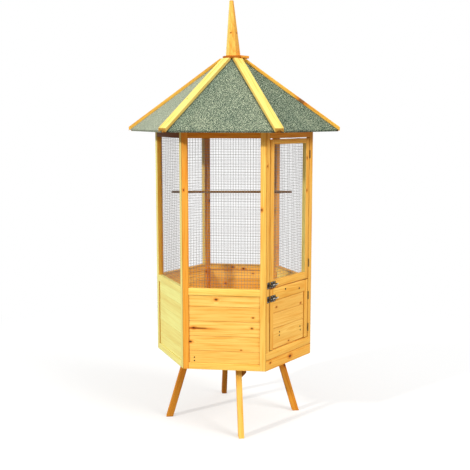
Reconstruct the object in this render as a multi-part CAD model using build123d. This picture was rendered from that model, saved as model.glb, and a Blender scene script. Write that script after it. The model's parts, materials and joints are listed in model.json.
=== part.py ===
from build123d import *
import math
import os

# Hexagonal garden aviary on four splayed legs, in millimetres.
# Origin on the ground below the roof's point, +Z up, door side facing -Y.

os.makedirs("parts", exist_ok=True)

# Body plan and heights
wall_side = 380.0
body_bottom = 325.0
frame_depth = 20.0
stile_width = 27.0

bottom_rail_top = 355.0
mid_rail_bottom = 671.0
mid_rail_top = 702.0
header_show = 27.0

# Front opening
base_board_top = 372.0
sill_joint = 3.0
sill_rail_height = 36.0
door_gap = 5.0
door_split = 701.5
upper_door_top_rail = 22.0
upper_door_bottom_rail = 32.0
lower_door_top_rail = 56.0

# Infill
board_thickness = 10.0
board_recess = 5.0
floor_thickness = 9.0
mesh_lap = 10.0
mesh_thickness = 2.0
mesh_bar = 3.0
mesh_pitch = 70.0

# Perch
perch_radius = 6.0
perch_height = 1102.0
perch_offset = 110.0
perch_offset_angle = 37.0

# Roof
eave_radius = 497.0
eave_height = 1403.0
hip_slope = 0.7165
roof_panel_thickness = 9.0
felt_thickness = 3.0
batten_width = 42.0
batten_thickness = 15.0
batten_overhang = 8.0
apex_block_radius = 38.0
apex_block_drop = 45.0
batten_clearance = 1.0
cap_radius = 63.0
cap_seat_margin = 3.0
cap_thickness = 12.0
spire_base_radius = 35.0
spire_top_radius = 10.0
spire_top = 2008.0
cap_offset = 13.0
cap_offset_angle = -60.0
spire_lean = 8.0
spire_lean_angle = 120.0

# Stand
leg_foot_radius = 318.0
leg_top_radius = 222.0
leg_radial = 32.0
leg_tangential = 25.0
leg_offset = 6.5
bearer_thickness = 22.0
bearer_height = 60.0
bearer_chamfer = 20.0
bearer_end_radius = 246.0

# Door hinges
hinge_height = 38.0
hinge_leaf_thickness = 1.2
hinge_leaf_depth = 16.0
hinge_barrel_radius = 3.0
hinge_barrel_gap = 0.6
upper_hinge_inset = 75.0
lower_hinge_top_inset = 79.0
lower_hinge_bottom_inset = 46.0

# Door bolts
bolt_radius = 3.0
bolt_clearance = 0.5
bolt_length = 56.0
bolt_knob_radius = 2.5
bolt_knob_height = 9.0
bolt_knob_gap = 1.0
bolt_plate_length = 40.0
bolt_plate_height = 30.0
bolt_plate_thickness = 1.5
bolt_strap_length = 7.0
bolt_strap_wall = 2.0
bolt_edge_margin = 1.5
keeper_length = 9.0
keeper_plate_length = 18.0
upper_bolt_rise = 15.0
lower_bolt_drop = 44.0

# Values that follow from the sizes above
header_bottom = eave_height - header_show
half_side = wall_side / 2
wall_apothem = half_side * math.sqrt(3)
tan30 = math.tan(math.radians(30))
cos30 = math.cos(math.radians(30))
opening_half = half_side - stile_width
inner_apothem = wall_apothem - frame_depth
mesh_apothem = inner_apothem - mesh_thickness
eave_apothem = eave_radius * cos30
face_slope = hip_slope / cos30
pitch = math.atan(face_slope)
sill_rail_bottom = base_board_top + sill_joint
sill_rail_top = sill_rail_bottom + sill_rail_height
door_half = opening_half - door_gap
door_open_half = door_half - stile_width
lower_door_bottom = sill_rail_top + door_gap
lower_door_top = door_split - door_gap / 2
upper_door_bottom = door_split + door_gap / 2
upper_door_top = header_bottom - door_gap
mesh_half = opening_half + mesh_lap

front = -90
corner_turn = 60
side_names = ["front_left", "back_left", "back", "back_right", "front_right"]
side_angles = [front - corner_turn * (i + 1) for i in range(len(side_names))]
all_angles = [front] + side_angles


def prism(low, high):
    """Solid between two matching polygons, given as lists of points."""
    count = len(low)
    faces = [Face(Wire.make_polygon(low)), Face(Wire.make_polygon(high))]
    for i in range(count):
        j = (i + 1) % count
        faces.append(Face(Wire.make_polygon([low[i], low[j], high[j], high[i]])))
    return Solid(Shell(faces))


def turned(shape, angle):
    """Shape drawn for the front wall, turned to the wall that faces angle."""
    return shape.rotate(Axis.Z, angle - front)


def wall_box(u_low, u_high, out_low, out_high, z_low, z_high):
    """Box on the front wall: u to the right, out measured from the outer face."""
    y_low = -wall_apothem - out_high
    y_high = -wall_apothem - out_low
    size = (u_high - u_low, y_high - y_low, z_high - z_low)
    return Box(*size, align=(Align.MIN,) * 3).moved(Location((u_low, y_low, z_low)))


def roof_underside(apothem):
    """Height of the roof's underside at a distance from the centre."""
    return eave_height + (eave_apothem - apothem) * face_slope


def save(name, solids):
    """Write one node from a list of solids."""
    shape = solids[0] if len(solids) == 1 else Compound(children=solids)
    shape.label = name
    export_step(shape, f"parts/{name}.step")


def stile(z_low, side):
    """Corner stile with a mitred outer edge, cut to the roof's slope."""
    out_inner = -frame_depth
    inner_edge = half_side - frame_depth * tan30
    plan = [(opening_half, 0), (half_side, 0), (inner_edge, out_inner), (opening_half, out_inner)]
    low = []
    high = []
    for u, out in plan:
        apothem = wall_apothem + out
        low.append((side * u, -apothem, z_low))
        high.append((side * u, -apothem, roof_underside(apothem)))
    return prism(low, high)


def header_rail():
    """Rail from the top of the opening up to the roof, between two stiles."""
    low = []
    high = []
    for u, out in ((-opening_half, 0), (opening_half, 0), (opening_half, -frame_depth), (-opening_half, -frame_depth)):
        apothem = wall_apothem + out
        low.append((u, -apothem, header_bottom))
        high.append((u, -apothem, roof_underside(apothem)))
    return prism(low, high)


def mitred_rail(z_low, z_high):
    """Full-width rail that meets the next walls in a mitre."""
    inner_edge = half_side - frame_depth * tan30
    plan = [
        (-half_side, -wall_apothem),
        (half_side, -wall_apothem),
        (inner_edge, -inner_apothem),
        (-inner_edge, -inner_apothem),
    ]
    return prism([(x, y, z_low) for x, y in plan], [(x, y, z_high) for x, y in plan])


def plain_rail(z_low, z_high):
    """Rail between two stiles."""
    return wall_box(-opening_half, opening_half, -frame_depth, 0, z_low, z_high)


def bar_positions(low, high):
    """Centres of evenly spaced mesh bars, the outer ones on the border."""
    first = low + mesh_bar / 2
    last = high - mesh_bar / 2
    count = round((last - first) / mesh_pitch)
    return [first + (last - first) * i / count for i in range(count + 1)]


def mesh_sheet(half_width, z_low, z_high):
    """Coarse wire grid fixed to the inner face of a frame."""
    sheet = wall_box(-half_width, half_width, -frame_depth - mesh_thickness, -frame_depth, z_low, z_high)
    columns = bar_positions(-half_width, half_width)
    rows = bar_positions(z_low, z_high)
    holes = []
    for left, right in zip(columns, columns[1:]):
        for below, above in zip(rows, rows[1:]):
            holes.append(
                wall_box(
                    left + mesh_bar / 2,
                    right - mesh_bar / 2,
                    -frame_depth - mesh_thickness * 2,
                    -frame_depth + mesh_thickness,
                    below + mesh_bar / 2,
                    above - mesh_bar / 2,
                )
            )
    return sheet.cut(*holes)


def make_walls():
    """Stiles, rails, board panels and mesh of the six sides."""
    bottoms = {angle: sill_rail_top if angle == front else body_bottom for angle in all_angles}
    save("left_stiles", [turned(stile(bottoms[a], -1), a) for a in all_angles])
    save("right_stiles", [turned(stile(bottoms[a], 1), a) for a in all_angles])
    save("header_rails", [turned(header_rail(), a) for a in all_angles])
    save("mid_rails", [turned(plain_rail(mid_rail_bottom, mid_rail_top), a) for a in side_angles])
    save("bottom_rails", [turned(plain_rail(body_bottom, bottom_rail_top), a) for a in side_angles])
    save("front_base_board", [mitred_rail(body_bottom, base_board_top)])
    save("door_sill_rail", [mitred_rail(sill_rail_bottom, sill_rail_top)])
    panel_back = -board_recess - board_thickness
    for name, angle in zip(side_names, side_angles):
        panel = wall_box(-opening_half, opening_half, panel_back, -board_recess, bottom_rail_top, mid_rail_bottom)
        save(f"{name}_boards", [turned(panel, angle)])
        mesh = mesh_sheet(mesh_half, mid_rail_top - mesh_lap, header_bottom + mesh_lap)
        save(f"{name}_mesh", [turned(mesh, angle)])


def hexagon(radius, z, shift=(0, 0)):
    """Corner points of a level hexagon, shifted by (distance, direction)."""
    x = shift[0] * math.cos(math.radians(shift[1]))
    y = shift[0] * math.sin(math.radians(shift[1]))
    angles = [math.radians(corner_turn * i) for i in range(6)]
    return [(x + radius * math.cos(a), y + radius * math.sin(a), z) for a in angles]


def make_floor():
    """Floor sheet inside the bottom rails."""
    radius = inner_apothem / cos30
    save("floor", [prism(hexagon(radius, body_bottom), hexagon(radius, body_bottom + floor_thickness))])


def make_perch():
    """Dowel across the cage, its ends cut to the mesh they rest against."""
    dowel = Cylinder(perch_radius, wall_side * 2, rotation=(90, 0, 0))
    dowel = dowel.moved(Location((perch_offset, 0, perch_height))).rotate(Axis.Z, perch_offset_angle)
    radius = mesh_apothem / cos30
    room = prism(hexagon(radius, body_bottom), hexagon(radius, eave_height))
    save("perch", [(dowel & room).solids()[0]])


def roof_sheet(lift, thickness):
    """One flat roof slope, lifted off the underside along its own normal."""
    inner = apex_block_radius * cos30
    edge = [(eave_apothem, -1), (eave_apothem, 1), (inner, 1), (inner, -1)]
    outward = math.sin(pitch)
    upward = math.cos(pitch)
    rings = []
    for offset in (lift, lift + thickness):
        ring = []
        for apothem, side in edge:
            y = -apothem - offset * outward
            z = roof_underside(apothem) + offset * upward
            ring.append((side * apothem * tan30, y, z))
        rings.append(ring)
    return prism(rings[0], rings[1])


def batten_section():
    """Hip batten section as (sideways, normal to the hip), seated on both slopes."""
    cos_between = math.sin(pitch) ** 2 * 0.5 + math.cos(pitch) ** 2
    tilt = math.acos(cos_between) / 2
    cover = roof_panel_thickness + felt_thickness
    ridge = cover / math.cos(tilt)
    edge = (cover - batten_width / 2 * math.sin(tilt)) / math.cos(tilt)
    half = batten_width / 2
    top = edge + batten_thickness
    return [(0, ridge), (half, edge), (half, top), (-half, top), (-half, edge)]


def hip_height(radius):
    """Height of the underside's hip line at a distance from the centre."""
    return eave_height + (eave_radius - radius) * hip_slope


def plumb_section(radius):
    """Batten section cut by an upright plane at a distance from the centre."""
    stretch = math.sqrt(1 + hip_slope ** 2)
    return [(radius, side, hip_height(radius) + normal * stretch) for side, normal in batten_section()]


batten_top_normal = batten_section()[2][1] * math.sqrt(1 + hip_slope ** 2)
cap_bottom = hip_height(cap_radius - cap_seat_margin) + batten_top_normal
cap_top = cap_bottom + cap_thickness


def hip_batten(angle):
    """Batten from the apex block to past the eave, seat cut below the cap."""
    outer = plumb_section(eave_radius + batten_overhang)
    inner = plumb_section(apex_block_radius + batten_clearance)
    above_cap = Box(cap_radius * 4, cap_radius * 4, cap_radius, align=(Align.CENTER, Align.CENTER, Align.MIN))
    batten = prism(outer, inner).cut(above_cap.moved(Location((0, 0, cap_bottom))))
    return batten.rotate(Axis.Z, angle)


def make_roof():
    """Six slopes with felt, hip battens, apex block, cap plate and spire."""
    save("roof_panels", [turned(roof_sheet(0, roof_panel_thickness), a) for a in all_angles])
    save("roof_felt", [turned(roof_sheet(roof_panel_thickness, felt_thickness), a) for a in all_angles])
    save("hip_battens", [hip_batten(corner_turn * i) for i in range(6)])
    block_bottom = roof_underside(apex_block_radius * cos30) - apex_block_drop
    save("apex_block", [prism(hexagon(apex_block_radius, block_bottom), hexagon(apex_block_radius, cap_bottom))])
    cap_shift = (cap_offset, cap_offset_angle)
    save("cap_plate", [prism(hexagon(cap_radius, cap_bottom, cap_shift), hexagon(cap_radius, cap_top, cap_shift))])
    spire_point = hexagon(spire_top_radius, spire_top, (spire_lean, spire_lean_angle))
    save("spire", [prism(hexagon(spire_base_radius, cap_top), spire_point)])


def leg(side):
    """Splayed leg along +X, beside the bearer; side is the way it is offset."""
    slope = (leg_foot_radius - leg_top_radius) / body_bottom
    half = leg_radial / 2 * math.sqrt(1 + slope ** 2)
    profile = [
        (leg_foot_radius - half, 0),
        (leg_foot_radius + half, 0),
        (leg_top_radius + half, body_bottom),
        (leg_top_radius - half, body_bottom),
    ]
    near = side * leg_offset - leg_tangential / 2
    far = side * leg_offset + leg_tangential / 2
    return prism([(x, near, z) for x, z in profile], [(x, far, z) for x, z in profile])


def bearer():
    """Bearer along X that the legs of one diagonal are bolted to."""
    top_edge = leg_offset - leg_tangential / 2
    far_edge = top_edge - bearer_thickness
    low = body_bottom - bearer_height
    section = [
        (top_edge, body_bottom),
        (top_edge, low),
        (far_edge + bearer_chamfer, low),
        (far_edge, low + bearer_chamfer),
        (far_edge, body_bottom),
    ]
    reach = bearer_end_radius
    return prism([(-reach, y, z) for y, z in section], [(reach, y, z) for y, z in section])


def make_stand():
    """Crossed bearers, halved into each other, with a leg at each end."""
    first = bearer().rotate(Axis.Z, -45)
    second = bearer().rotate(Axis.Z, 45)
    save("crossed_bearers", [first.fuse(second).clean().solids()[0]])
    legs = {
        "front_right_leg": (1, -45),
        "back_left_leg": (-1, 135),
        "back_right_leg": (1, 45),
        "front_left_leg": (-1, -135),
    }
    for name, (side, angle) in legs.items():
        save(name, [leg(side).rotate(Axis.Z, angle)])


def door_stiles(z_low, z_high):
    """Pair of stiles of one door."""
    right = wall_box(door_open_half, door_half, -frame_depth, 0, z_low, z_high)
    left = wall_box(-door_half, -door_open_half, -frame_depth, 0, z_low, z_high)
    return [left, right]


def door_rail(z_low, z_high):
    """Rail between the stiles of one door."""
    return wall_box(-door_open_half, door_open_half, -frame_depth, 0, z_low, z_high)


def make_doors():
    """Mesh door above and boarded door below."""
    save("upper_door_stiles", door_stiles(upper_door_bottom, upper_door_top))
    bottom_rail = door_rail(upper_door_bottom, upper_door_bottom + upper_door_bottom_rail)
    top_rail = door_rail(upper_door_top - upper_door_top_rail, upper_door_top)
    save("upper_door_rails", [bottom_rail, top_rail])
    mesh_low = upper_door_bottom + upper_door_bottom_rail - mesh_lap
    mesh_high = upper_door_top - upper_door_top_rail + mesh_lap
    save("upper_door_mesh", [mesh_sheet(door_open_half + mesh_lap, mesh_low, mesh_high)])
    save("lower_door_stiles", door_stiles(lower_door_bottom, lower_door_top))
    rail_bottom = lower_door_top - lower_door_top_rail
    save("lower_door_top_rail", [door_rail(rail_bottom, lower_door_top)])
    panel_back = -board_recess - board_thickness
    panel = wall_box(-door_open_half, door_open_half, panel_back, -board_recess, lower_door_bottom, rail_bottom)
    save("lower_door_boards", [panel])


hinge_axis_u = (opening_half + door_half) / 2
upper_hinges = [upper_door_bottom + upper_hinge_inset, upper_door_top - upper_hinge_inset]
lower_hinges = [lower_door_bottom + lower_hinge_bottom_inset, lower_door_top - lower_hinge_top_inset]


def hinge_half(z, on_door):
    """Leaf and barrel half of a butt hinge; the door carries the upper half."""
    low = z - hinge_height / 2
    middle = z + hinge_barrel_gap / 2
    barrel_height = (hinge_height - hinge_barrel_gap) / 2
    barrel_low = middle if on_door else low
    leaf_u = door_half if on_door else opening_half - hinge_leaf_thickness
    leaf = wall_box(leaf_u, leaf_u + hinge_leaf_thickness, -hinge_leaf_depth, 0, low, low + hinge_height)
    tab = wall_box(
        leaf_u,
        leaf_u + hinge_leaf_thickness,
        0,
        hinge_barrel_radius,
        barrel_low,
        barrel_low + barrel_height,
    )
    barrel = Cylinder(hinge_barrel_radius, barrel_height, align=(Align.CENTER, Align.CENTER, Align.MIN))
    centre = (hinge_axis_u, -wall_apothem - hinge_barrel_radius, barrel_low)
    return leaf.fuse(tab, barrel.moved(Location(centre))).clean().solids()[0]


def make_hinges():
    """Two butt hinges on each door."""
    save("frame_hinge_leaves", [hinge_half(z, False) for z in upper_hinges + lower_hinges])
    save("upper_door_hinge_leaves", [hinge_half(z, True) for z in upper_hinges])
    save("lower_door_hinge_leaves", [hinge_half(z, True) for z in lower_hinges])


bolt_out = bolt_plate_thickness + bolt_clearance + bolt_radius


def strap(u_low, u_high, z):
    """Squared staple over the bolt, standing on its plate."""
    room = bolt_radius + bolt_clearance
    outer_out = bolt_out + room + bolt_strap_wall
    outer_half = room + bolt_strap_wall
    block = wall_box(u_low, u_high, 0, outer_out, z - outer_half, z + outer_half)
    channel = wall_box(u_low - 1, u_high + 1, bolt_plate_thickness, bolt_out + room, z - room, z + room)
    return block.cut(channel)


def bolt_plate(z):
    """Back plate with two staples, on the door's free stile and rail."""
    left = -door_half + bolt_edge_margin
    right = left + bolt_plate_length
    half = bolt_plate_height / 2
    plate = wall_box(left, right, 0, bolt_plate_thickness, z - half, z + half)
    first = strap(left, left + bolt_strap_length, z)
    second = strap(right - bolt_strap_length, right, z)
    return plate.fuse(first, second).clean().solids()[0]


def bolt_keeper(z):
    """Staple on the frame's stile that the bolt slides into."""
    right = -opening_half - bolt_edge_margin
    half = bolt_plate_height / 2
    plate = wall_box(right - keeper_plate_length, right, 0, bolt_plate_thickness, z - half, z + half)
    return plate.fuse(strap(right - keeper_length, right, z)).clean().solids()[0]


def bolt(z):
    """Round bolt with a knob between the staples, drawn back at rest."""
    start = -door_half + bolt_edge_margin
    stop = start + bolt_plate_length - bolt_strap_length
    rod = Cylinder(bolt_radius, bolt_length, rotation=(0, 90, 0))
    rod = rod.moved(Location((start + bolt_length / 2, -wall_apothem - bolt_out, z)))
    knob = Cylinder(bolt_knob_radius, bolt_knob_height, rotation=(90, 0, 0))
    knob_u = stop - bolt_knob_radius - bolt_knob_gap
    knob = knob.moved(Location((knob_u, -wall_apothem - bolt_out - bolt_knob_height / 2, z)))
    return rod.fuse(knob).clean().solids()[0]


def make_bolts():
    """A small barrel bolt on each door, with its keeper on the frame."""
    upper = upper_door_bottom + upper_bolt_rise
    lower = lower_door_top - lower_bolt_drop
    save("bolt_keepers", [bolt_keeper(upper), bolt_keeper(lower)])
    save("upper_bolt_plate", [bolt_plate(upper)])
    save("lower_bolt_plate", [bolt_plate(lower)])
    save("upper_bolt", [bolt(upper)])
    save("lower_bolt", [bolt(lower)])


make_stand()
make_floor()
make_walls()
make_perch()
make_roof()
make_doors()
make_hinges()
make_bolts()
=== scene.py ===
import bpy
import bmesh
import json
import math
import random
from mathutils import Matrix, Vector

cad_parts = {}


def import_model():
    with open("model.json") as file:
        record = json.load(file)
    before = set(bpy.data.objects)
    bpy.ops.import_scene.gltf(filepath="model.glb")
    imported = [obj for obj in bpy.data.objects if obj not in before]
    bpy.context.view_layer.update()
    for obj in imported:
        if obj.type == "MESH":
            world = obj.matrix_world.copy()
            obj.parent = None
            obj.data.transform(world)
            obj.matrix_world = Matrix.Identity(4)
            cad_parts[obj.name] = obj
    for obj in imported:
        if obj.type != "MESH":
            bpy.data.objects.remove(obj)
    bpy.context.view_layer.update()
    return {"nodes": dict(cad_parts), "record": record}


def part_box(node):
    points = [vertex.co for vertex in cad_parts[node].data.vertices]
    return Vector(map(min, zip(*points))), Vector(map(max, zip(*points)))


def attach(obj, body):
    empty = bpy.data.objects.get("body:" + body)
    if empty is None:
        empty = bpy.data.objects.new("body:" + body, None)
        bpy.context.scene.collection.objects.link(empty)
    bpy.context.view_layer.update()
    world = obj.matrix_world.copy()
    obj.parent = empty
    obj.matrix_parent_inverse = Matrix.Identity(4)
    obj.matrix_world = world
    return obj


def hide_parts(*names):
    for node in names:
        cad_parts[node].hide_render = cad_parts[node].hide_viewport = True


# Looks of the hexagonal garden aviary. Metres and degrees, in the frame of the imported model.

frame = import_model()
nodes = frame["nodes"]
bodies = frame["record"]["behaviour"]["bodies"]
body_of_node = {node: body for body, names in bodies.items() for node in names}
rng = random.Random(7)

# Plan and heights that the drawn pieces share with the model
WALL_SIDE = 0.380
WALL_APOTHEM = WALL_SIDE / 2 * math.sqrt(3)
STILE = 0.027
FRAME_DEPTH = 0.020
OPENING_HALF = WALL_SIDE / 2 - STILE
DOOR_HALF = OPENING_HALF - 0.005
DOOR_OPEN_HALF = DOOR_HALF - STILE
LOWER_DOOR_TOP = 0.702
BOARD_RECESS = 0.005
BOARD_THICKNESS = 0.010
BOARD_GAP = 0.00025
MESH_LAP = 0.010
MESH_LOW = 0.692
MESH_HIGH = 1.386
EAVE_RADIUS = 0.497
EAVE_APOTHEM = EAVE_RADIUS * math.cos(math.radians(30))
EAVE_HEIGHT = 1.403
ROOF_SLOPE = 0.7165 / math.cos(math.radians(30))
ROOF_COVER = 0.012

# Walls by the angle of their outward normal. The photograph shows the door, front and left walls
DOOR_WALL = -90
FRONT_WALL = -150
LEFT_WALL = 150
BACK_WALL = 90
BACK_RIGHT_WALL = 30
FRONT_RIGHT_WALL = -30
SIDES = {
    "front_left": FRONT_WALL,
    "back_left": LEFT_WALL,
    "back": BACK_WALL,
    "back_right": BACK_RIGHT_WALL,
    "front_right": FRONT_RIGHT_WALL,
}
WALLS = [DOOR_WALL] + list(SIDES.values())

# Knots of the wall timbers: wall, distance across, height, half width
KNOTS = [
    (FRONT_WALL, -0.037, 0.652, 0.0046),
    (FRONT_WALL, 0.131, 0.572, 0.0030),
    (FRONT_WALL, -0.141, 0.518, 0.0046),
    (FRONT_WALL, 0.126, 0.523, 0.0034),
    (FRONT_WALL, -0.156, 0.453, 0.0046),
    (FRONT_WALL, 0.077, 0.420, 0.0022),
    (FRONT_WALL, -0.181, 1.147, 0.0030),
    (FRONT_WALL, -0.186, 0.836, 0.0032),
    (FRONT_WALL, 0.169, 1.062, 0.0038),
    (DOOR_WALL, 0.140, 1.279, 0.0036),
    (DOOR_WALL, 0.141, 1.127, 0.0034),
    (DOOR_WALL, 0.010, 0.352, 0.0070),
    (DOOR_WALL, -0.153, 0.358, 0.0040),
    (DOOR_WALL, -0.100, 0.608, 0.0036),
    (DOOR_WALL, 0.105, 0.590, 0.0036),
    (DOOR_WALL, 0.004, 0.428, 0.0030),
    (DOOR_WALL, -0.182, 1.255, 0.0030),
]
# Knots of the spire and the battens: x, y, z, half width
POINT_KNOTS = [
    (-0.032, 0.002, 1.859, 0.0016),
    (0.1448, -0.2925, 1.545, 0.0100),
    (-0.328, 0.006, 1.549, 0.0016),
]
# Long dark streak in one front board: wall, distance across, height, half length
STREAK = (FRONT_WALL, -0.119, 0.517, 0.047)
STREAK_STRETCH = 0.062
# Stray knots of the other timbers
STRAY_CHANCE = 0.4
STRAY_SIZES = (0.0022, 0.0058)
# Scale along the grain that draws a knot out, and the stored value for no knot
KNOT_STRETCH = 0.62
NOWHERE = (-90.0, -90.0, 0.0)
# How far a knot's centre may lie off its timber's own box
KNOT_SLACK = 0.008
POINT_KNOT_SLACK = 0.012
# Nails and screws: wall, distance across, height
NAILS = [
    (FRONT_WALL, -0.138, 0.3800),
    (FRONT_WALL, -0.138, 0.3640),
    (DOOR_WALL, -0.073, 0.486),
    (DOOR_WALL, -0.074, 0.470),
    (DOOR_WALL, 0.102, 0.477),
    (DOOR_WALL, 0.105, 0.459),
]
RAIL_SCREWS = [(DOOR_WALL, -0.033, 0.682), (DOOR_WALL, 0.084, 0.666)]
BOARD_NAIL_HEAD = 0.0034
DOOR_NAIL_HEAD = 0.0041
RAIL_SCREW_HEAD = 0.0050
PLATE_SCREW_HEAD = 0.0021

# Tints of timbers that have none of their own, and the mark of a timber drawn in painted sunlight
PLAIN_TINTS = (0.35, 0.65)
SUNLIT_MARK = 2.0
# Extra material slots of dressed frames: painted sunlight, painted shade, and pale pine as painted sunlight
# on inner faces
SUNLIT_SLOT = 1
SHADED_SLOT = 2
PALE_SLOT = 3

# Rings of the pine
RING_SPACING = 0.0046
RING_WANDER = 0.022
KNOT_PULL = 1.6


# Materials

def new_material(name):
    """New node material, its tree and its shader."""
    mat = bpy.data.materials.new(name)
    mat.use_nodes = True
    tree = mat.node_tree
    return mat, tree, tree.nodes["Principled BSDF"]


def add(tree, kind, inputs=None, **settings):
    """New node with its settings and unlinked input values."""
    node = tree.nodes.new(kind)
    for key, value in settings.items():
        setattr(node, key, value)
    for key, value in (inputs or {}).items():
        node.inputs[key].default_value = value
    return node


def plug(tree, socket, value):
    """Links a socket, or sets a number or colour."""
    if isinstance(value, bpy.types.NodeSocket):
        tree.links.new(value, socket)
    elif isinstance(value, tuple) and len(socket.default_value) == 4:
        socket.default_value = (*value, 1.0)
    else:
        socket.default_value = value


def calc(tree, operation, a, b=0.0, c=0.0):
    """Maths on sockets or numbers."""
    node = add(tree, "ShaderNodeMath", operation=operation)
    for socket, value in zip(node.inputs, (a, b, c)):
        plug(tree, socket, value)
    return node.outputs[0]


def step(tree, value, low, high, to_low=0.0, to_high=1.0):
    """Smooth step of a value between two limits."""
    node = add(tree, "ShaderNodeMapRange", interpolation_type="SMOOTHSTEP")
    for socket, item in zip(node.inputs, (value, low, high, to_low, to_high)):
        plug(tree, socket, item)
    return node.outputs[0]


def ramp(tree, factor, stops):
    """Colour ramp from (position, colour) stops."""
    node = add(tree, "ShaderNodeValToRGB")
    elements = node.color_ramp.elements
    while len(elements) < len(stops):
        elements.new(0.5)
    for element, (position, colour) in zip(elements, stops):
        element.position = position
        element.color = (*colour, 1.0)
    tree.links.new(factor, node.inputs[0])
    return node.outputs[0]


def blend(tree, kind, factor, a, b):
    """Mix of two colours."""
    node = add(tree, "ShaderNodeMix", data_type="RGBA", blend_type=kind)
    for socket, value in ((node.inputs[0], factor), (node.inputs[6], a), (node.inputs[7], b)):
        plug(tree, socket, value)
    return node.outputs[2]


def noise(tree, vector, scale, detail=2.0, rough=0.5, stretch=(1.0, 1.0, 1.0)):
    """Noise value on a stretched vector."""
    place = add(tree, "ShaderNodeMapping", {"Scale": stretch})
    tree.links.new(vector, place.inputs["Vector"])
    node = add(tree, "ShaderNodeTexNoise", {"Scale": scale, "Detail": detail, "Roughness": rough})
    tree.links.new(place.outputs[0], node.inputs["Vector"])
    return node.outputs[0]


def bumped(tree, shader, height, strength, distance):
    """Bump from a height value."""
    node = add(tree, "ShaderNodeBump", {"Strength": strength, "Distance": distance})
    plug(tree, node.inputs["Height"], height)
    tree.links.new(node.outputs[0], shader.inputs["Normal"])


def knot_fields(tree, split, name, stretch):
    """Distance from a knot stored on the timber as a share of its size, and the size."""
    knot = add(tree, "ShaderNodeAttribute", attribute_name=name)
    at = add(tree, "ShaderNodeSeparateXYZ")
    tree.links.new(knot.outputs["Vector"], at.inputs[0])
    along = calc(tree, "MULTIPLY", calc(tree, "SUBTRACT", split.outputs[0], at.outputs[0]), stretch)
    across = calc(tree, "SUBTRACT", split.outputs[1], at.outputs[1])
    along_square = calc(tree, "MULTIPLY", along, along)
    reach = calc(tree, "SQRT", calc(tree, "MULTIPLY_ADD", across, across, along_square))
    size = calc(tree, "MAXIMUM", at.outputs[2], 0.0001)
    return calc(tree, "DIVIDE", reach, size), at.outputs[2]


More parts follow.
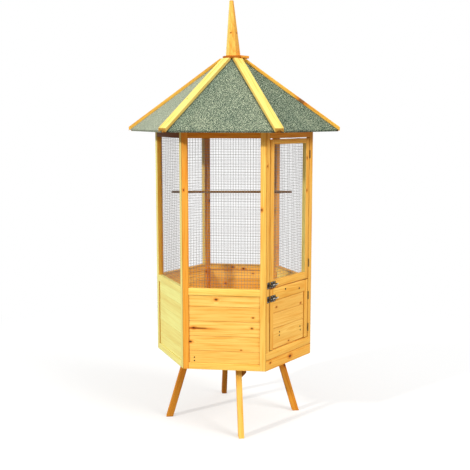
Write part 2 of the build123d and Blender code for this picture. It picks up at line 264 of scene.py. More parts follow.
def wood(name, early, late, knot_colour=(0.085, 0.026, 0.006), banding=0.75):
    """Planed pine: rings about a pith, fibre, knots, end grain and paler worn edges."""
    mat, tree, shader = new_material(name)
    grain = add(tree, "ShaderNodeAttribute", attribute_name="grain")
    vector = grain.outputs["Vector"]
    split = add(tree, "ShaderNodeSeparateXYZ")
    tree.links.new(vector, split.inputs[0])

    # Rings about the pith, pulled out of round by the knots
    wander = noise(tree, vector, 1.0, 3.0, 0.5, (2.2, 16.0, 16.0))
    side_square = calc(tree, "MULTIPLY", split.outputs[1], split.outputs[1])
    depth_square = calc(tree, "MULTIPLY", split.outputs[2], split.outputs[2])
    radius = calc(tree, "SQRT", calc(tree, "ADD", side_square, depth_square))
    radius = calc(tree, "MULTIPLY_ADD", wander, RING_WANDER, radius)
    near_a, size_a = knot_fields(tree, split, "knot_a", KNOT_STRETCH)
    near_b, size_b = knot_fields(tree, split, "knot_b", KNOT_STRETCH)
    near_streak = knot_fields(tree, split, "streak", STREAK_STRETCH)[0]
    for near, size in ((near_a, size_a), (near_b, size_b)):
        fall = calc(tree, "MULTIPLY", calc(tree, "MULTIPLY", near, near), -0.16)
        pull = calc(tree, "POWER", 2.718, fall)
        shift = calc(tree, "MULTIPLY", pull, calc(tree, "MULTIPLY", size, KNOT_PULL))
        radius = calc(tree, "ADD", radius, shift)
    turns = calc(tree, "FRACT", calc(tree, "MULTIPLY", radius, 1.0 / RING_SPACING))
    ring = step(tree, turns, 0.25, 0.93)
    ring_end = step(tree, turns, 0.93, 1.0, 1.0, 0.0)
    ring = calc(tree, "MULTIPLY", ring, ring_end)

    # Fibre, broad patches and reddish bands
    fibre = noise(tree, vector, 1.0, 4.0, 0.62, (9.0, 700.0, 700.0))
    broad = noise(tree, vector, 1.0, 2.0, 0.5, (2.0, 20.0, 20.0))
    amount = calc(tree, "MULTIPLY", ring, calc(tree, "MULTIPLY_ADD", broad, 1.1, -0.12))
    amount = calc(tree, "MINIMUM", calc(tree, "MAXIMUM", amount, 0.0), 0.8)
    colour = blend(tree, "MIX", amount, early, late)
    streaks = ramp(tree, fibre, [
        (0.28, (0.80, 0.74, 0.64)),
        (0.52, (1.0, 1.0, 1.0)),
        (0.78, (1.05, 1.06, 1.08)),
    ])
    colour = blend(tree, "MULTIPLY", 0.6, colour, streaks)
    patches = ramp(tree, broad, [
        (0.30, (0.90, 0.80, 0.66)),
        (0.55, (1.0, 1.0, 1.0)),
        (0.75, (1.02, 1.05, 1.10)),
    ])
    colour = blend(tree, "MULTIPLY", 0.7, colour, patches)
    bands = noise(tree, vector, 1.0, 3.0, 0.55, (5.5, 120.0, 120.0))
    reddish = ramp(tree, bands, [
        (0.34, (0.90, 0.68, 0.42)),
        (0.50, (1.0, 1.0, 1.0)),
        (0.68, (1.05, 1.09, 1.20)),
    ])
    colour = blend(tree, "MULTIPLY", banding, colour, reddish)

    # Tint of the single timber, from -0.33 for nearly black to 1 for pale; on some timbers the dark end is
    # painted shade and the pale end painted sunlight
    tint = add(tree, "ShaderNodeAttribute", attribute_name="tint")
    place = calc(tree, "MULTIPLY_ADD", tint.outputs["Fac"], 0.75, 0.25)
    shades = ramp(tree, place, [
        (0.0, (0.16, 0.09, 0.04)),
        (0.25, (0.94, 0.68, 0.36)),
        (0.625, (1.0, 1.0, 1.0)),
        (1.0, (1.06, 1.40, 1.75)),
    ])
    colour = blend(tree, "MULTIPLY", 1.0, colour, shades)

    # Knots and streak, each with a soft halo
    speck = noise(tree, vector, 700.0, 2.0)
    for near in (near_a, near_b, near_streak):
        rough_near = calc(tree, "MULTIPLY_ADD", speck, 0.5, calc(tree, "SUBTRACT", near, 0.25))
        halo = step(tree, rough_near, 0.9, 3.0, 0.75, 0.0)
        colour = blend(tree, "MULTIPLY", halo, colour, (0.78, 0.42, 0.20))
        core = step(tree, rough_near, 0.60, 1.15, 0.92, 0.0)
        colour = blend(tree, "MIX", core, colour, knot_colour)

    # End grain and seams are darker, as are the faces that carry painted shade in the same attribute, and
    # rubbed edges paler
    end = add(tree, "ShaderNodeAttribute", attribute_name="end_grain_and_shade")
    colour = blend(tree, "MULTIPLY", end.outputs["Fac"], colour, (0.50, 0.34, 0.22))
    worn = add(tree, "ShaderNodeAttribute", attribute_name="worn")
    rubbed = calc(tree, "MULTIPLY", worn.outputs["Fac"], step(tree, broad, 0.35, 0.65, 0.25, 0.8))
    colour = blend(tree, "MULTIPLY", rubbed, colour, (1.06, 1.12, 1.22))
    plug(tree, shader.inputs["Base Color"], colour)
    plug(tree, shader.inputs["Roughness"], calc(tree, "MULTIPLY_ADD", fibre, 0.25, 0.50))
    shader.inputs["Specular IOR Level"].default_value = 0.12
    height = calc(tree, "SUBTRACT", calc(tree, "MULTIPLY", fibre, 0.8), calc(tree, "MULTIPLY", ring, 0.35))
    bumped(tree, shader, height, 0.35, 0.0006)
    return mat


def felt():
    """Green mineral felt: packed granules in clumps, matt, with painted shade along each hip, a painted
    batten shadow on the front slope and painted sunlight on paler slopes.
    """
    mat, tree, shader = new_material("mineral_felt")
    place = add(tree, "ShaderNodeTexCoord")
    vector = place.outputs["Object"]
    cells = add(tree, "ShaderNodeTexVoronoi", {"Scale": 480.0})
    tree.links.new(vector, cells.inputs["Vector"])
    clumps = noise(tree, vector, 300.0, 3.0, 0.6)
    fine = noise(tree, vector, 620.0, 2.0, 0.6)
    drift = noise(tree, vector, 7.0, 3.0)
    mixed = calc(tree, "MULTIPLY_ADD", fine, 0.45, calc(tree, "MULTIPLY", clumps, 0.62))
    colour = ramp(tree, mixed, [
        (0.475, (0.008, 0.026, 0.020)),
        (0.515, (0.026, 0.060, 0.044)),
        (0.550, (0.115, 0.172, 0.112)),
        (0.585, (0.330, 0.400, 0.265)),
        (0.635, (0.860, 0.880, 0.660)),
    ])
    grit = ramp(tree, cells.outputs["Color"], [
        (0.1, (0.56, 0.60, 0.57)),
        (0.5, (0.90, 0.91, 0.90)),
        (0.95, (1.20, 1.18, 1.12)),
    ])
    colour = blend(tree, "MULTIPLY", 0.85, colour, grit)
    shade = ramp(tree, drift, [(0.30, (0.84, 0.87, 0.86)), (0.66, (1.10, 1.08, 1.04))])
    colour = blend(tree, "MULTIPLY", 0.8, colour, shade)

    # Distance to the nearest hip in plan, for the painted shade along the battens' edges
    split = add(tree, "ShaderNodeSeparateXYZ")
    tree.links.new(vector, split.inputs[0])
    reach = 1.0
    for corner in (0, 60, 120):
        turn = math.radians(corner)
        sideways = calc(tree, "MULTIPLY", split.outputs[0], math.sin(turn))
        sideways = calc(tree, "MULTIPLY_ADD", split.outputs[1], -math.cos(turn), sideways)
        reach = calc(tree, "MINIMUM", reach, calc(tree, "ABSOLUTE", sideways))
    # Painted shade: the felt darkened in a narrow line along each batten's edge
    colour = blend(tree, "MULTIPLY", step(tree, reach, 0.021, 0.029, 0.8, 0.0), colour, (0.22, 0.24, 0.20))

    # Painted shadow of the left batten: a bluish band on the front slope beside it
    batten_shadow = step(tree, calc(tree, "MULTIPLY", split.outputs[1], -1.0), 0.024, 0.085, 0.5, 0.0)
    batten_shadow = calc(tree, "MULTIPLY", batten_shadow, calc(tree, "LESS_THAN", split.outputs[1], 0.0))
    batten_shadow = calc(tree, "MULTIPLY", batten_shadow, calc(tree, "LESS_THAN", split.outputs[0], 0.0))
    colour = blend(tree, "MULTIPLY", batten_shadow, colour, (0.42, 0.60, 0.66))
    # Painted sunlight: each slope drawn paler by its stored share
    painted_sunlight = add(tree, "ShaderNodeAttribute", attribute_name="painted_sunlight")
    pale = blend(tree, "MIX", 0.42, colour, (0.62, 0.66, 0.52))
    colour = blend(tree, "MIX", painted_sunlight.outputs["Fac"], colour, pale)
    plug(tree, shader.inputs["Base Color"], colour)
    shader.inputs["Roughness"].default_value = 0.94
    shader.inputs["Specular IOR Level"].default_value = 0.15
    bumped(tree, shader, calc(tree, "ADD", cells.outputs["Distance"], clumps), 0.8, 0.0014)
    return mat


def metal(name, base, rough, speck):
    """Worked metal in one base colour: spangle, dull patches and tiny scratches."""
    mat, tree, shader = new_material(name)
    place = add(tree, "ShaderNodeTexCoord")
    vector = place.outputs["Object"]
    cells = add(tree, "ShaderNodeTexVoronoi", {"Scale": speck})
    tree.links.new(vector, cells.inputs["Vector"])
    smear = noise(tree, vector, speck * 0.6, 4.0)
    scratch = noise(tree, vector, 1.0, 3.0, 0.7, (300.0, 2400.0, 900.0))
    low = tuple(value * 0.80 for value in base)
    high = tuple(min(1.0, value * 1.15) for value in base)
    tone = ramp(tree, cells.outputs["Color"], [(0.0, low), (1.0, high)])
    dull = ramp(tree, smear, [(0.35, (0.66, 0.62, 0.56)), (0.6, (1.0, 1.0, 1.0))])
    plug(tree, shader.inputs["Base Color"], blend(tree, "MULTIPLY", 0.7, tone, dull))
    shader.inputs["Metallic"].default_value = 0.85
    plug(tree, shader.inputs["Roughness"], calc(tree, "MULTIPLY_ADD", smear, 0.3, rough - 0.15))
    bumped(tree, shader, calc(tree, "ADD", smear, scratch), 0.15, 0.0003)
    return mat


HONEY = wood("honey_pine", (0.92, 0.520, 0.100), (0.76, 0.330, 0.045))
BOARD = wood("honey_boards", (0.92, 0.545, 0.125), (0.80, 0.375, 0.060))
# Brighter copy of the boards: painted light on the back walls' inner faces, seen through the mesh
INNER = wood("inner_boards", (1.0, 0.560, 0.105), (0.92, 0.420, 0.060))
# Pale pine of the battens, also painted sunlight on the spire and on the front-right wall's inner faces
PALE = wood("pale_pine", (0.91, 0.720, 0.200), (0.82, 0.540, 0.110), (0.26, 0.11, 0.030))
# Pale copy of the pine: painted sunlight on the left wall and on reveals that face the sun
SUNLIT_PINE = wood("painted_sunlit_pine", (0.80, 0.725, 0.250), (0.77, 0.670, 0.205), (0.50, 0.34, 0.100), 0.25)
SHADED = wood("shaded_reveal", (0.74, 0.40, 0.060), (0.58, 0.25, 0.025))
DOWEL = wood("perch_dowel", (0.27, 0.145, 0.055), (0.19, 0.095, 0.033))
FELT = felt()
ZINC = metal("zinc_plate", (0.62, 0.61, 0.59), 0.32, 380.0)
DARK_ZINC = metal("aged_zinc", (0.070, 0.055, 0.034), 0.5, 320.0)
BRASSED = metal("brassed_steel", (0.30, 0.195, 0.065), 0.5, 320.0)
SCREW = metal("dark_screw", (0.030, 0.015, 0.007), 0.6, 500.0)
WIRE = metal("galvanised_wire", (0.33, 0.32, 0.31), 0.5, 260.0)


# Mesh helpers

SMOOTH_ANGLE = 35
# Share of a face's normal along the grain, up to which it is a side and over which it is an end
SIDE_LEAN = 0.3
END_LEAN = 0.75


def piece(name, bm, material, body, replaced=(), smooth=True):
    """Object from a bmesh, with its material and body, and the nodes it replaces."""
    mesh = bpy.data.meshes.new(name)
    bm.to_mesh(mesh)
    bm.free()
    obj = bpy.data.objects.new(name, mesh)
    bpy.context.scene.collection.objects.link(obj)
    mesh.materials.append(material)
    if smooth:
        mesh.shade_smooth()
        mesh.set_sharp_from_angle(angle=math.radians(SMOOTH_ANGLE))
    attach(obj, body)
    if replaced:
        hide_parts(*replaced)
    return obj


def islands(bm):
    """Lists of faces that hang together."""
    left = set(bm.faces)
    groups = []
    for seed in list(bm.faces):
        if seed not in left:
            continue
        left.discard(seed)
        stack = [seed]
        group = [seed]
        while stack:
            for edge in stack.pop().edges:
                for other in edge.link_faces:
                    if other in left:
                        left.discard(other)
                        stack.append(other)
                        group.append(other)
        groups.append(group)
    return groups


def outward(wall):
    """Outward normal of a wall."""
    turn = math.radians(wall)
    return Vector((math.cos(turn), math.sin(turn), 0))


def on_wall(wall, across, height, out=0.0):
    """Point on a wall's outer face, or a little out of it."""
    normal = outward(wall)
    side = Vector((-normal.y, normal.x, 0))
    return normal * (WALL_APOTHEM + out) + side * across + Vector((0, 0, height))


def soften(bm, width, segments=2, least=25):
    """Rounds the sharp edges and marks the new faces as worn."""
    worn = bm.faces.layers.float.get("worn") or bm.faces.layers.float.new("worn")
    limit = math.radians(least)
    sharp = [e for e in bm.edges if len(e.link_faces) == 2 and e.calc_face_angle(0.0) > limit]
    made = bmesh.ops.bevel(
        bm, geom=sharp, offset=width, segments=segments, profile=0.6, affect="EDGES", clamp_overlap=True
    )
    for face in made["faces"]:
        face[worn] = 1.0


def corners_of(faces):
    """Vertices of some faces, and the middle of them."""
    verts = list(dict.fromkeys(v for f in faces for v in f.verts))
    return verts, sum((v.co for v in verts), Vector()) / len(verts)


def rank(direction):
    """Key that sorts directions the same way in each run."""
    return tuple(round(value, 3) for value in direction)


def longest_direction(faces):
    """Direction of the longest edge, the same one in each run where several are as long."""
    edges = {e for f in faces for e in f.edges}
    limit = max(e.calc_length() for e in edges) - 1e-5
    directions = [(e.verts[1].co - e.verts[0].co).normalized() for e in edges if e.calc_length() > limit]
    return max(directions + [-d for d in directions], key=rank)


def stored_layers(bm):
    """Attribute layers that the wood materials read."""
    layers = {}
    for name in ("grain", "knot_a", "knot_b", "streak"):
        found = bm.verts.layers.float_vector.get(name)
        layers[name] = found or bm.verts.layers.float_vector.new(name)
    layers["tint"] = bm.verts.layers.float.get("tint") or bm.verts.layers.float.new("tint")
    found = bm.faces.layers.float.get("end_grain_and_shade")
    layers["end_grain_and_shade"] = found or bm.faces.layers.float.new("end_grain_and_shade")
    return layers


def inside(point, centre, axes, halves, slack):
    """Whether a point is in a timber's own box, or in a slack border round it."""
    return all(abs((point - centre).dot(axis)) < half + slack for axis, half in zip(axes, halves))


def mark_timber(layers, faces, tint, along, stray):
    """Gives one timber its grain, tint, knots and end grain; stray is the chance of an unlisted knot."""
    along = Vector(along).normalized() if along else longest_direction(faces)
    verts, centre = corners_of(faces)
    sides = [f for f in faces if abs(f.normal.dot(along)) < SIDE_LEAN]
    normal = max(sides, key=lambda f: f.calc_area()).normal.copy()
    normal = (normal - along * normal.dot(along)).normalized()
    if normal.dot(Vector((centre.x, centre.y, 0))) < 0:
        normal = -normal
    flat = normal.cross(along).normalized()
    axes = (along, flat, normal)
    halves = [max(abs((v.co - centre).dot(axis)) for v in verts) for axis in axes]
    start = rng.uniform(0, 40)
    sideways = rng.uniform(-0.05, 0.05)
    depth = rng.choice((-1, 1)) * rng.uniform(0.02, 0.06)
    pith = Vector((start, sideways, depth))

    def local(point):
        offset = point - centre
        return Vector((offset.dot(along), offset.dot(flat), offset.dot(normal))) + pith

    found = []
    for wall, across, height, size in KNOTS:
        point = on_wall(wall, across, height)
        if inside(point, centre, axes, halves, KNOT_SLACK):
            found.append((point, size))
    for *place, size in POINT_KNOTS:
        point = Vector(place)
        if inside(point, centre, axes, halves, POINT_KNOT_SLACK):
            found.append((point, size))
    upright = abs(normal.z) < 0.1
    on_show = upright and any(normal.dot(outward(wall)) > 0.99 for wall in (FRONT_WALL, DOOR_WALL))
    while len(found) < 2 and not on_show and rng.random() < stray:
        spot = centre + along * rng.uniform(-0.85, 0.85) * halves[0]
        spot += flat * rng.uniform(-0.8, 0.8) * halves[1]
        found.append((spot, rng.uniform(*STRAY_SIZES)))
    stored = []
    for spot, size in found[:2]:
        where = local(spot)
        stored.append(Vector((where.x, where.y, size)))
    while len(stored) < 2:
        stored.append(Vector(NOWHERE))
    streak = Vector(NOWHERE)
    *place, length = STREAK
    point = on_wall(*place)
    if inside(point, centre, axes, halves, KNOT_SLACK):
        where = local(point)
        streak = Vector((where.x, where.y, length * STREAK_STRETCH))
    for v in verts:
        v[layers["grain"]] = local(v.co)
        v[layers["knot_a"]] = stored[0]
        v[layers["knot_b"]] = stored[1]
        v[layers["streak"]] = streak
        v[layers["tint"]] = tint
    for f in faces:
        f[layers["end_grain_and_shade"]] = 1.0 if abs(f.normal.dot(along)) > END_LEAN else 0.0


def wall_of(faces):
    """Wall that a timber stands in."""
    centre = corners_of(faces)[1]
    return max(WALLS, key=lambda wall: centre.dot(outward(wall)))


def cad_copy(node):
    """Clean bmesh copy of a CAD node."""
    bm = bmesh.new()
    bm.from_mesh(nodes[node].data)
    bmesh.ops.remove_doubles(bm, verts=bm.verts, dist=1e-6)
    bmesh.ops.dissolve_limit(bm, angle_limit=math.radians(1.0), verts=bm.verts, edges=bm.edges)
    return bm


def shade_seams(bm, layers, faces, wall):
    """Darkens the mitre seams at the corners, and paints shade on the faces in the gap on the left of the
    lower door.
    """
    worn = bm.faces.layers.float["worn"]
    normal = outward(wall)
    side = Vector((-normal.y, normal.x, 0))
    for face in faces:
        middle = face.calc_center_median()
        at_corner = abs(middle.dot(side)) > WALL_SIDE / 2 - 0.0025
        # Painted shade: side faces in the gap left of the lower door are darkened
        beside_door = middle.dot(side) < 0.001 - DOOR_HALF and middle.z < LOWER_DOOR_TOP
        in_gap = wall == DOOR_WALL and beside_door and abs(face.normal.dot(side)) > 0.9
        if (at_corner and face[worn] > 0.5) or in_gap:
            face[layers["end_grain_and_shade"]] = 1.0
            face[worn] = 0.0


def frame_slot(node, wall, face, in_sunlight):
    """Material slot of one face of a frame timber, by how the sun falls on it: painted sunlight and painted
    shade.
    """
    lean = face.normal.dot(outward(wall))
    reveal = node.endswith("_stiles") and abs(lean) < 0.5
    faces_sun = face.normal.x < -0.9 and (wall == BACK_WALL or node == "upper_door_stiles")
    at_mesh = wall == BACK_WALL or abs(face.calc_center_median().x) < DOOR_HALF - 0.001
    # Left wall timbers: painted shade on the reveals, painted sunlight on the other faces
    if in_sunlight:
        return SHADED_SLOT if reveal else SUNLIT_SLOT
    # Reveals facing the sun beside the mesh: painted sunlight
    if reveal and faces_sun and at_mesh:
        return SUNLIT_SLOT
    # Inner faces of the front-right wall: painted sunlight in the pale pine
    if wall == FRONT_RIGHT_WALL and lean < -0.5:
        return PALE_SLOT
    return 0


def dress_frame(node, tints):
    """Detailed copy of a frame node, its timbers tinted by wall."""
    bm = cad_copy(node)
    soften(bm, 0.0012)
    layers = stored_layers(bm)
    for group in islands(bm):
        drawn = rng.uniform(*PLAIN_TINTS)
        wall = wall_of(group)
        tint = tints.get(wall, drawn)
        # Timbers of the left wall are marked for painted sunlight
        in_sunlight = tint == SUNLIT_MARK
        mark_timber(layers, group, 0.5 if in_sunlight else tint, None, 0.0 if in_sunlight else STRAY_CHANCE)
        shade_seams(bm, layers, group, wall)
        for face in group:
            face.material_index = frame_slot(node, wall, face, in_sunlight)
    obj = piece(f"{node}_timber", bm, HONEY, body_of_node[node], (node,))
    # Slots for painted sunlight, painted shade and the pale pine's painted sunlight
    for extra in (SUNLIT_PINE, SHADED, PALE):
        obj.data.materials.append(extra)


def dress(node, material, width, tints=PLAIN_TINTS, along=None, stray=STRAY_CHANCE):
    """Detailed copy of a timber node: eased edges, and grain along each timber."""
    bm = cad_copy(node)
    soften(bm, width)
    layers = stored_layers(bm)
    for group in islands(bm):
        mark_timber(layers, group, rng.uniform(*tints), along, stray)
    piece(f"{node}_timber", bm, material, body_of_node[node], (node,))


def dress_battens():
    """Hip battens, paler or deeper by the way each faces the sun as painted light, with painted shade on
    their sides.
    """
    bm = cad_copy("hip_battens")
    soften(bm, 0.0018)
    layers = stored_layers(bm)
    # Painted light by hip: the hips toward the sun pale, the others deeper
    shades = {180: 0.55, -120: 0.50, 120: 0.05, -60: 0.0, 0: 0.25, 60: 0.3}
    for group in islands(bm):
        centre = corners_of(group)[1]
        corner = round(math.degrees(math.atan2(centre.y, centre.x)) / 60) * 60
        corner = 180 if corner == -180 else corner
        mark_timber(layers, group, shades[corner], None, 0.0 if corner in (180, -120, -60) else 0.5)
        # Painted shade on the battens' side faces, drawn through the end grain attribute
        for face in group:
            if face.normal.z < 0.5 and face[layers["end_grain_and_shade"]] < 0.5:
                face[layers["end_grain_and_shade"]] = 0.20 if corner in (120, -60) else 0.45
    piece("hip_battens_timber", bm, PALE, "cage", ("hip_battens",))


def dress_spire():
    """Spire with painted sunlight on its face toward the left wall and painted shade on its face toward the
    doors.
    """
    bm = cad_copy("spire")
    soften(bm, 0.0012)
    layers = stored_layers(bm)
    for group in islands(bm):
        mark_timber(layers, group, 0.50, (0, 0, 1), 0.0)
        for face in group:
            # Painted sunlight on the face toward the left wall, in the pale pine; painted shade on the face
            # toward the doors
            if face.normal.dot(outward(LEFT_WALL)) > 0.9:
                face.material_index = 1
            elif face.normal.dot(outward(DOOR_WALL)) > 0.9:
                face[layers["end_grain_and_shade"]] = 0.30
    obj = piece("spire_timber", bm, HONEY, "cage", ("spire",))
    obj.data.materials.append(PALE)


def wall_turn(wall):
    """Turn about the upright axis from the door wall to another wall."""
    return Matrix.Rotation(math.radians(wall - DOOR_WALL), 3, "Z")


def block(bm, low, high, turn):
    """Adds a box drawn for the door wall and turned to its own wall."""
    made = bmesh.ops.create_cube(bm, size=1.0)["verts"]
    bmesh.ops.scale(bm, vec=[b - a for a, b in zip(low, high)], verts=made)
    bmesh.ops.translate(bm, vec=[(a + b) / 2 for a, b in zip(low, high)], verts=made)
    bmesh.ops.rotate(bm, cent=(0, 0, 0), matrix=turn, verts=made)


def boards(
    name, node, half, levels, wall, material, tints, short=(0.0, 0.0), groove=0.0015, stray=STRAY_CHANCE
):
    """One wall's boards as separate timbers with a V at each joint, some short of the stiles."""
    bm = bmesh.new()
    turn = wall_turn(wall)
    front = -(WALL_APOTHEM - BOARD_RECESS)
    back = front + BOARD_THICKNESS
    for bottom, top in zip(levels, levels[1:]):
        low = (-half + short[0], front, bottom + BOARD_GAP)
        high = (half - short[1], back, top - BOARD_GAP)
        block(bm, low, high, turn)
    bm.normal_update()
    soften(bm, groove, 1)
    layers = stored_layers(bm)
    along = turn @ Vector((1, 0, 0))
    for i, group in enumerate(islands(bm)):
        mark_timber(layers, group, tints[i % len(tints)], along, stray)
    worn = bm.faces.layers.float["worn"]
    normal = outward(wall)
    for face in bm.faces:
        if face[worn] > 0.5:
            face[layers["end_grain_and_shade"]] = 0.0 if wall == LEFT_WALL else 0.35
            face[worn] = 0.0
        # Inner faces of the front-right wall: painted sunlight in the pale pine
        if wall == FRONT_RIGHT_WALL and face.normal.dot(normal) < -0.5:
            face.material_index = 1
    obj = piece(name, bm, material, body_of_node[node], (node,), False)
    if wall == FRONT_RIGHT_WALL:
        obj.data.materials.append(PALE)


# Welded wire mesh

WIRE_PITCH = 0.0129
WIRE_RADIUS = 0.00053


def wire(bm, start, end, turn):
    """One straight wire with five sides."""
    start = Vector(start)
    end = Vector(end)
    made = bmesh.ops.create_cone(
        bm, cap_ends=True, segments=5, radius1=WIRE_RADIUS, radius2=WIRE_RADIUS, depth=(end - start).length
    )["verts"]
    aimed = (end - start).to_track_quat("Z", "Y").to_matrix()
    bmesh.ops.rotate(bm, cent=(0, 0, 0), matrix=aimed, verts=made)
    bmesh.ops.translate(bm, vec=(start + end) / 2, verts=made)
    bmesh.ops.rotate(bm, cent=(0, 0, 0), matrix=turn, verts=made)


def wire_mesh(node, half, low, high, wall):
    """Grid of upright and level wires behind a frame."""
    bm = bmesh.new()
    turn = wall_turn(wall)
    y = -(WALL_APOTHEM - FRAME_DEPTH) + WIRE_RADIUS
    y_level = y + WIRE_RADIUS * 1.6
    columns = int(2 * half / WIRE_PITCH)
    rows = int((high - low) / WIRE_PITCH)
    first_x = -columns * WIRE_PITCH / 2
    first_z = (low + high) / 2 - rows * WIRE_PITCH / 2
    for i in range(columns + 1):
        x = first_x + i * WIRE_PITCH
        wire(bm, (x, y, low), (x, y, high), turn)
    for j in range(rows + 1):
        z = first_z + j * WIRE_PITCH
        wire(bm, (-half, y_level, z), (half, y_level, z), turn)
    piece(f"{node}_wires", bm, WIRE, body_of_node[node], (node,))


# Fixings

def lathe(bm, base, axis, profile, segments):
    """Turned solid: profile of (distance along the axis, radius)."""
    axis = Vector(axis).normalized()
    side = axis.orthogonal().normalized()
    other = axis.cross(side)
    rings = []
    for along, radius in profile:
        middle = Vector(base) + axis * along
        ring = []
        for i in range(segments):
            turn = 2 * math.pi * i / segments
            ring.append(bm.verts.new(middle + (side * math.cos(turn) + other * math.sin(turn)) * radius))
        rings.append(ring)
    for low, high in zip(rings, rings[1:]):
        for i in range(segments):
            j = (i + 1) % segments
            bm.faces.new((low[i], low[j], high[j], high[i]))
    bm.faces.new(list(reversed(rings[0])))
    bm.faces.new(rings[-1])


def screw_head(bm, centre, normal, radius):
    """Low domed head with a fine cross standing on it."""
    profile = [(-0.0006, radius), (0.0001, radius), (0.00035, radius * 0.8), (0.0005, radius * 0.5)]
    lathe(bm, centre, normal, profile, 16)
    across = Vector((0, 0, 1)).cross(normal).normalized()
    low = centre + normal * 0.0004
    high = centre + normal * 0.00062
    for turn in (math.radians(20), math.radians(110)):
        direction = across * math.cos(turn) + normal.cross(across) * math.sin(turn)
        width = normal.cross(direction) * radius * 0.12
        length = direction * radius * 0.62
        corners = [-length - width, length - width, length + width, -length + width]
        ring = [bm.verts.new(low + c) for c in corners] + [bm.verts.new(high + c) for c in corners]
        for quad in ((0, 1, 2, 3), (4, 5, 6, 7), (0, 1, 5, 4), (1, 2, 6, 5), (2, 3, 7, 6), (3, 0, 4, 7)):
            bm.faces.new([ring[k] for k in quad])


def screws(name, body, spots, radius, material, out=0.0):
    """Screw or nail heads on the faces of the walls."""
    bm = bmesh.new()
    for wall, across, height in spots:
        screw_head(bm, on_wall(wall, across, height, out), outward(wall), radius)
    bmesh.ops.recalc_face_normals(bm, faces=bm.faces)
    piece(name, bm, material, body, ())


# Timber

# Tints of frame timbers by wall; the left wall's mark draws its timbers in painted sunlight
FRAME_TINTS = {
    "bottom_rails": {FRONT_WALL: 0.60, LEFT_WALL: SUNLIT_MARK},
    "mid_rails": {FRONT_WALL: 0.86, LEFT_WALL: SUNLIT_MARK},
    # Header rails: the low tints are painted shade under the eaves, nearly black on the left wall
    "header_rails": {
        FRONT_WALL: -0.04,
        DOOR_WALL: 0.12,
        LEFT_WALL: -0.33,
        BACK_WALL: -0.1,
        BACK_RIGHT_WALL: -0.1,
        FRONT_RIGHT_WALL: -0.1,
    },
    # The low tints of the back walls' stiles are painted shade inside the cage
    "left_stiles": {
        FRONT_WALL: 0.12,
        DOOR_WALL: 0.42,
        LEFT_WALL: SUNLIT_MARK,
        BACK_WALL: 0.10,
        BACK_RIGHT_WALL: -0.02,
        FRONT_RIGHT_WALL: 0.05,
    },
    "right_stiles": {
        FRONT_WALL: 0.66,
        DOOR_WALL: 0.45,
        LEFT_WALL: SUNLIT_MARK,
        BACK_WALL: 0.10,
        BACK_RIGHT_WALL: 0.05,
        FRONT_RIGHT_WALL: 0.05,
    },
    "front_base_board": {DOOR_WALL: 0.40},
    "door_sill_rail": {DOOR_WALL: 0.52},
    "upper_door_stiles": {DOOR_WALL: 0.40},
    "upper_door_rails": {DOOR_WALL: 0.46},
    "lower_door_stiles": {DOOR_WALL: 0.42},
    "lower_door_top_rail": {DOOR_WALL: 0.50},
}
# Leg tints: the pale front-left leg is painted sunlight, the darker legs painted shade under the body
LEG_TINTS = {
    "front_left_leg": 0.62,
    "front_right_leg": -0.06,
    "back_left_leg": -0.12,
    "back_right_leg": -0.22,
}
SIDE_LEVELS = [0.355, 0.412, 0.481, 0.5505, 0.6176, 0.671]
SIDE_TINTS = [0.50, 0.46, 0.56, 0.50, 0.60]
DOOR_BOARD_JOINTS = [0.510, 0.582]
DOOR_BOARD_TINTS = [0.52, 0.44, 0.48]


def timber():
    """Frame, stand, roof timbers and perch."""
    for node, tints in FRAME_TINTS.items():
        dress_frame(node, tints)
    for node in ("floor", "crossed_bearers", "roof_panels", "apex_block"):
        dress(node, HONEY, 0.0008)
    for node, tint in LEG_TINTS.items():
        dress(node, HONEY, 0.0015, (tint, tint), stray=0.15)
    dress("cap_plate", HONEY, 0.0020, (0.10, 0.12), along=(1, 0, 0))
    dress_spire()
    dress("perch", DOWEL, 0.0006)
    dress_battens()


def walls():
    """Boards and wire mesh of the five sides and the two doors."""
    # Left wall boards in painted sunlight, front wall in plain boards, and the rest in the brighter copy as
    # painted light inside
    materials = {LEFT_WALL: SUNLIT_PINE, FRONT_WALL: BOARD}
    for side, wall in SIDES.items():
        name = f"{side}_boarding"
        node = f"{side}_boards"
        style = dict(short=(0.0025, 0.0), groove=0.0005, stray=0.0) if wall == LEFT_WALL else {}
        boards(name, node, OPENING_HALF, SIDE_LEVELS, wall, materials.get(wall, INNER), SIDE_TINTS, **style)
        wire_mesh(f"{side}_mesh", OPENING_HALF + MESH_LAP, MESH_LOW, MESH_HIGH, wall)
    low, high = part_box("lower_door_boards")
    levels = [low[2], *DOOR_BOARD_JOINTS, high[2] - 0.0018]
    name = "lower_door_boarding"
    node = "lower_door_boards"
    boards(name, node, DOOR_OPEN_HALF, levels, DOOR_WALL, BOARD, DOOR_BOARD_TINTS, (0.0, 0.0015))
    low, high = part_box("upper_door_mesh")
    wire_mesh("upper_door_mesh", DOOR_OPEN_HALF + MESH_LAP, low[2], high[2], DOOR_WALL)


# Roof felt, turned down over the edge of each slope

FOLD = 0.0016
FOLD_SHORT = 0.016
# Outline of the folded strip: distance up from the slope's underside, distance out of the eave
FOLD_OUTLINE = [(0.0004, 0.0), (ROOF_COVER - 0.0004, 0.0), (ROOF_COVER - 0.0012, FOLD), (0.0008, FOLD)]
# Painted sunlight: how far each slope's felt is drawn paler, most on the sunlit left slope
SLOPE_SUNLIGHT = {
    LEFT_WALL: 0.9,
    FRONT_WALL: 0.12,
    DOOR_WALL: 0.0,
    BACK_WALL: 0.4,
    BACK_RIGHT_WALL: 0.2,
    FRONT_RIGHT_WALL: 0.1,
}


